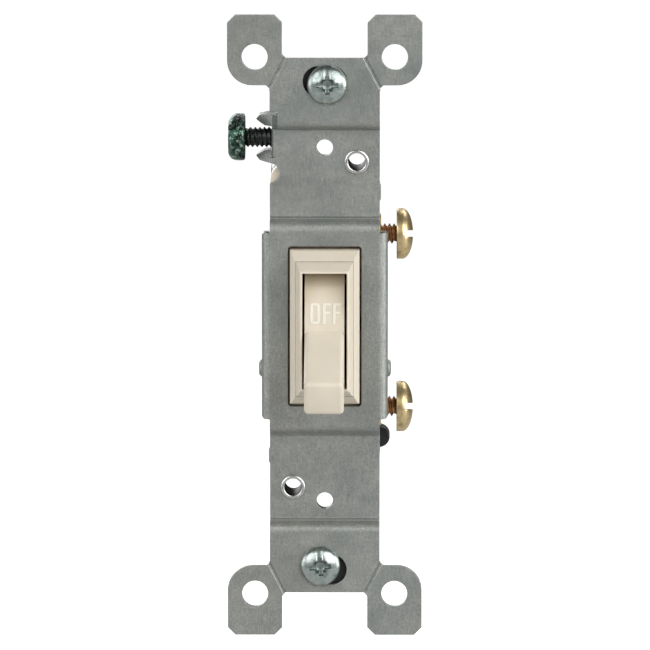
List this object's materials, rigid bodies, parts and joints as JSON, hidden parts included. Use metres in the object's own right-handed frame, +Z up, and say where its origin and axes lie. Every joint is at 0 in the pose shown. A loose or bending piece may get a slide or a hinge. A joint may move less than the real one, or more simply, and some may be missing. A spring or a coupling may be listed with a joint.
{
  "type": "toggle wall switch",
  "caption": "Framed single-pole toggle wall switch on a galvanised mounting strap with plaster ears, side terminal screws and a ground screw.",
  "frame": {"origin": "centre of the four ear holes, on the front face of the strap's end plates", "axes": "+Z up along the strap, +X to the right, and the front with the toggle faces -Y"},
  "size_m": [0.033, 0.0431, 0.1058],
  "materials": {
    "galvanised_steel": "galvanised, matt with faint spangle",
    "almond_plastic": "satin moulded",
    "black_plastic": "moulded, dull",
    "spring_steel": "drawn wire",
    "copper_alloy": "rolled strip",
    "silver_alloy": "satin",
    "brass_strip": "rolled strip",
    "black_rubber": "dull",
    "brass_screw": "turned, lightly tarnished",
    "green_screw": "dark green dye over steel",
    "zinc_screw": "bright zinc plate",
    "rivet_steel": "tinned"
  },
  "bodies": {
    "switch_body": {"strap": "galvanised_steel", "bezel_cover": "almond_plastic", "base_housing": "black_plastic", "line_terminal": "brass_strip", "load_terminal": "brass_strip", "fixed_contact": "silver_alloy", "push_in_clip_line": "copper_alloy", "push_in_clip_load": "copper_alloy", "bumper_pad": "black_rubber", "body_rivet_top": "rivet_steel", "body_rivet_bottom": "rivet_steel"},
    "toggle": {"toggle": "almond_plastic", "toggle_spring": "spring_steel"},
    "rocker": {"contact_rocker": "copper_alloy", "moving_contact": "silver_alloy"},
    "terminal_screw_top": {"terminal_screw_top": "brass_screw"},
    "terminal_screw_bottom": {"terminal_screw_bottom": "brass_screw"},
    "ground_screw": {"ground_screw": "green_screw"},
    "retainer_top": {"screw_retainer_top": "black_plastic"},
    "retainer_bottom": {"screw_retainer_bottom": "black_plastic"},
    "mounting_screw_top": {"mounting_screw_top": "zinc_screw"},
    "mounting_screw_bottom": {"mounting_screw_bottom": "zinc_screw"}
  },
  "joints": [
    {"name": "toggle_swing", "type": "hinge", "parent": "switch_body", "child": "toggle", "pos_m": [0, 0.005, 0], "axis": [-1, 0, 0], "range_deg": [0, 50], "deforming": ["toggle_spring"]},
    {"name": "rocker_swing", "type": "hinge", "parent": "switch_body", "child": "rocker", "pos_m": [0, 0.0195, 0], "axis": [-1, 0, 0], "range_deg": [0, 12]},
    {"name": "terminal_screw_top_travel", "type": "slide", "parent": "switch_body", "child": "terminal_screw_top", "axis": [-1, 0, 0], "range_m": [0, 0.0026]},
    {"name": "terminal_screw_bottom_travel", "type": "slide", "parent": "switch_body", "child": "terminal_screw_bottom", "axis": [-1, 0, 0], "range_m": [0, 0.0026]},
    {"name": "ground_screw_travel", "type": "slide", "parent": "switch_body", "child": "ground_screw", "axis": [1, 0, 0], "range_m": [0, 0.0018]},
    {"name": "retainer_top_shift", "type": "slide", "parent": "switch_body", "child": "retainer_top", "axis": [1, 0, 0], "range_m": [-0.0021, 0.0013]},
    {"name": "retainer_bottom_shift", "type": "slide", "parent": "switch_body", "child": "retainer_bottom", "axis": [1, 0, 0], "range_m": [-0.0007, 0.0021]},
    {"name": "mounting_screw_top_travel", "type": "slide", "parent": "retainer_top", "child": "mounting_screw_top", "axis": [0, -1, 0], "range_m": [0, 0.012]},
    {"name": "mounting_screw_bottom_travel", "type": "slide", "parent": "retainer_bottom", "child": "mounting_screw_bottom", "axis": [0, -1, 0], "range_m": [0, 0.012]}
  ],
  "couplings": [
    {"joint": "rocker_swing", "follows": "toggle_swing", "ratio": 0.24}
  ]
}
